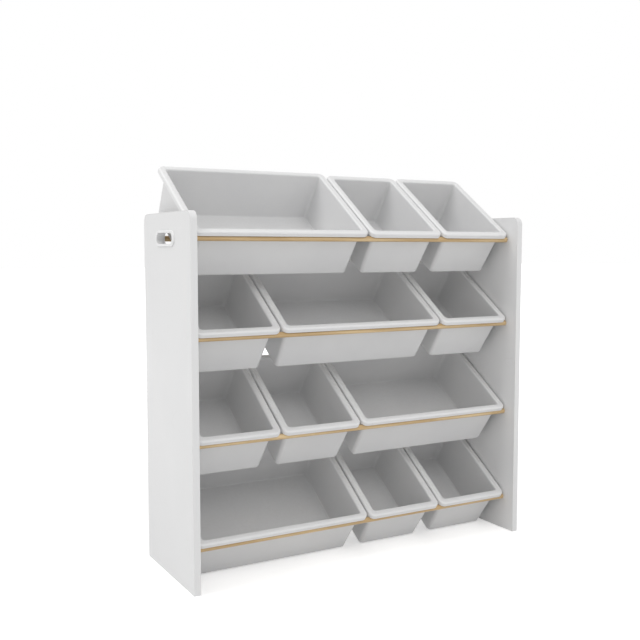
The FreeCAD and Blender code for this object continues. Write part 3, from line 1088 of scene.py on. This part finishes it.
    def _loop_vertices(
        self, shape: bmesh.types.BMesh, layer: Any, loop: Loop
    ) -> list[bmesh.types.BMVert]:
        """Add one loop's points, counter-clockwise from the start of its front right corner.

        Args:
            shape: The mesh being built.
            layer: The layer for how much each point is lightened: partly handling wear, partly a
                painted highlight.
            loop: The loop.

        Returns:
            The loop's vertices.
        """
        half_x = self.width / 2 - loop.side - loop.corner
        half_y = self.size.length / 2 - loop.end - loop.corner
        middles = [(half_x, -half_y), (half_x, half_y), (-half_x, half_y), (-half_x, -half_y)]
        points: list[tuple[float, float]] = []
        for quarter, (x, y) in enumerate(middles):
            start = (quarter - 1) * QUARTER_TURN
            for part in range(self.corner_parts + 1):
                turn = start + QUARTER_TURN * part / self.corner_parts
                points.append((x + loop.corner * math.cos(turn), y + loop.corner * math.sin(turn)))
            next_x, next_y = middles[(quarter + 1) % 4]
            turn = start + QUARTER_TURN
            across, along = loop.corner * math.cos(turn), loop.corner * math.sin(turn)
            first, last = Vector(points[-1]), Vector((next_x + across, next_y + along))
            for part in range(1, self.side_parts):
                points.append(tuple(first.lerp(last, part / self.side_parts)))
        vertices = []
        for x, y in points:
            vertex = shape.verts.new((x, y + self.size.length / 2, loop.height))
            vertex[layer] = loop.rub_and_highlight
            vertices.append(vertex)
        return vertices


# ---------------------------------------------------------------- rack


class Rack:
    """The fixed rack: side panels, hand-holds, rods, screws and caps, kept as the solids are."""

    BODY = "rack"

    def dress(self, finishes: dict[str, bpy.types.Material]) -> list[str]:
        """Give every node of the rack its finish.

        Args:
            finishes: The finish of each material slot of the record.

        Returns:
            The names of the dressed nodes.
        """
        slots = {row["node"]: row["material_slot"] for row in frame["record"]["subparts"]}
        dressed = []
        for node, thing in frame["nodes"].items():
            if thing["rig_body"] != self.BODY:
                continue
            thing.data.materials.clear()
            thing.data.materials.append(finishes[slots[node]])
            dressed.append(node)
        return dressed


# ---------------------------------------------------------------- studio


@dataclass(frozen=True)
class SoftLamp:
    """One square soft lamp, its size in metres and its power in watts."""

    name: str
    place: Triple
    size: float
    power: float


@dataclass
class Studio:
    """A white room: pale floor, even light from all round, a soft lamp in front and one left."""

    floor_size: float = 60.0
    floor_colour: Colour = (0.92, 0.92, 0.92)
    floor_roughness: float = 0.8
    floor_specular: float = 0.1
    mottle_cells: float = 3.0
    mottle_span: Span = (0.97, 1.03)
    # The floor's own glow: this much near the object, full white from so far away.
    floor_lift: float = 0.38
    lift_grows_from: float = 0.5
    full_white_from: float = 2.6
    ambient: float = 0.62
    aim: Triple = (0.0, 0.0, 0.4)
    lamps: tuple[SoftLamp, ...] = (
        SoftLamp("front_light", (0.0, -3.0, 3.6), size=3.2, power=44.0),
        SoftLamp("left_light", (-2.5, 0.1, 3.6), size=1.8, power=44.0),
    )

    def build(self) -> None:
        """Build the floor, the world and the lamps."""
        self._floor()
        self._world()
        for lamp in self.lamps:
            self._hang(lamp)

    def _seen_directly(self, bench: NodeBench) -> Socket:
        """Add a value that is 1 where the camera, a reflection or clear plastic sees the surface.

        Args:
            bench: The material's or world's bench.

        Returns:
            The value.
        """
        path = bench.add("ShaderNodeLightPath").outputs
        straight = bench.math("MAXIMUM", path["Is Camera Ray"], path["Is Glossy Ray"])
        return bench.math("MAXIMUM", straight, path["Is Transmission Ray"])

    def _floor(self) -> None:
        """Build the pale floor, which keeps the object's shadow."""
        half = self.floor_size / 2
        corners = [(-half, -half, 0), (half, -half, 0), (half, half, 0), (-half, half, 0)]
        mesh = bpy.data.meshes.new("floor")
        mesh.from_pydata(corners, [], [(0, 1, 2, 3)])
        floor = bpy.data.objects.new("floor", mesh)
        bpy.context.scene.collection.objects.link(floor)
        material, bench = empty_material("studio_floor")
        place = object_place(bench)
        mottle = bench.ramp(bench.noise(place, self.mottle_cells), *NOISE_SPAN, *self.mottle_span)
        tones = {0: self.floor_colour, 1: mottle}
        colour = bench.add("ShaderNodeVectorMath", tones, operation="MULTIPLY").outputs[0]
        away = bench.add("ShaderNodeVectorMath", {0: place}, operation="LENGTH").outputs["Value"]
        reach = (self.lift_grows_from, self.full_white_from)
        glow = bench.ramp(away, *reach, self.floor_lift, 1.0)
        sockets = {
            "Base Color": colour,
            "Roughness": self.floor_roughness,
            "Specular IOR Level": self.floor_specular,
            "Emission Color": (1.0, 1.0, 1.0, 1.0),
            "Emission Strength": bench.math("MULTIPLY", self._seen_directly(bench), glow),
        }
        shader = bench.add("ShaderNodeBsdfPrincipled", sockets)
        bench.add("ShaderNodeOutputMaterial", {"Surface": shader.outputs[0]})
        mesh.materials.append(material)

    def _world(self) -> None:
        """Build the even light from all round, white where it is seen directly."""
        world = bpy.data.worlds.new("white_room")
        bpy.context.scene.world = world
        world.use_nodes = True
        world.node_tree.nodes.clear()
        bench = NodeBench(world.node_tree)
        missing = bench.math("MULTIPLY", self._seen_directly(bench), 1.0 - self.ambient)
        strength = bench.math("ADD", missing, self.ambient)
        sockets = {"Color": (1.0, 1.0, 1.0, 1.0), "Strength": strength}
        light = bench.add("ShaderNodeBackground", sockets)
        bench.add("ShaderNodeOutputWorld", {"Surface": light.outputs[0]})

    def _hang(self, lamp: SoftLamp) -> None:
        """Hang one lamp, turned to the object.

        Args:
            lamp: The lamp.
        """
        data = bpy.data.lights.new(lamp.name, "AREA")
        data.shape = "SQUARE"
        data.size = lamp.size
        data.energy = lamp.power
        hung = bpy.data.objects.new(lamp.name, data)
        hung.location = lamp.place
        way = Vector(self.aim) - Vector(lamp.place)
        hung.rotation_euler = way.to_track_quat("-Z", "Y").to_euler()
        bpy.context.scene.collection.objects.link(hung)


@dataclass(frozen=True)
class PhotoCamera:
    """The camera at the photograph's place, for a square frame, its lens in millimetres."""

    place: Triple = (-1.0749, -1.7974, 0.7035)
    turn_right: float = math.radians(29.631)
    look_down: float = math.radians(4.574)
    focal_length: float = 50.0
    sensor: float = 36.0

    def build(self) -> None:
        """Set up the camera and make it the scene's."""
        data = bpy.data.cameras.new("photo_camera")
        data.lens = self.focal_length
        data.sensor_width = self.sensor
        data.dof.use_dof = False
        camera = bpy.data.objects.new("photo_camera", data)
        camera.location = self.place
        camera.rotation_euler = (QUARTER_TURN - self.look_down, 0.0, -self.turn_right)
        bpy.context.scene.collection.objects.link(camera)
        bpy.context.scene.camera = camera


# ---------------------------------------------------------------- whole part


def make_finishes(shelf: EffectShelf) -> dict[str, bpy.types.Material]:
    """Build the finish of each material slot of the record.

    Args:
        shelf: The shared effects.

    Returns:
        The materials by slot.
    """
    low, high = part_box("side_panel_left")
    middle_y, half_depth = (low.y + high.y) / 2, (high.y - low.y) / 2
    board = LaminatedBoard("white_faced_board", middle_y, half_depth, high.z)
    hold = MouldedPlastic(
        "hand_hold_plastic",
        colour=(0.83, 0.83, 0.83),
        shade=(0.81, 0.81, 0.812),
        roughness=0.32,
        skin_relief=0.00003,
    )
    # The photographed panel face shows no caps, so they take the board's own look.
    cap = MouldedPlastic(
        "cap_plastic",
        colour=board.colour,
        shade=board.shade,
        roughness=board.roughness,
        scuff_cover=0.2,
    )
    finishes = {
        "panel_board": board,
        "rod_wood": LacqueredWood("clear_coated_wood"),
        "hand_hold_plastic": hold,
        "cap_plastic": cap,
        "screw_steel": ZincSteel("zinc_plated_steel"),
        "bin_plastic": MouldedPlastic("bin_plastic"),
    }
    return {slot: finish.build(shelf) for slot, finish in finishes.items()}


def main() -> None:
    """Build and dress the whole part."""
    logging.basicConfig(level=logging.INFO, format="%(message)s")
    bpy.context.scene.view_settings.view_transform = "Standard"
    PhotoCamera().build()
    Studio().build()
    shelf = EffectShelf()
    shelf.build()
    finishes = make_finishes(shelf)
    for node in Rack().dress(finishes):
        log.info("dressed %s", node)
    for node in [name for name in frame["nodes"] if "_bin_row_" in name]:
        loose = MouldedBin.from_node(node)
        loose.dress(loose.build(), finishes["bin_plastic"])
        log.info("built %s", node)


if __name__ == "__main__":
    main()
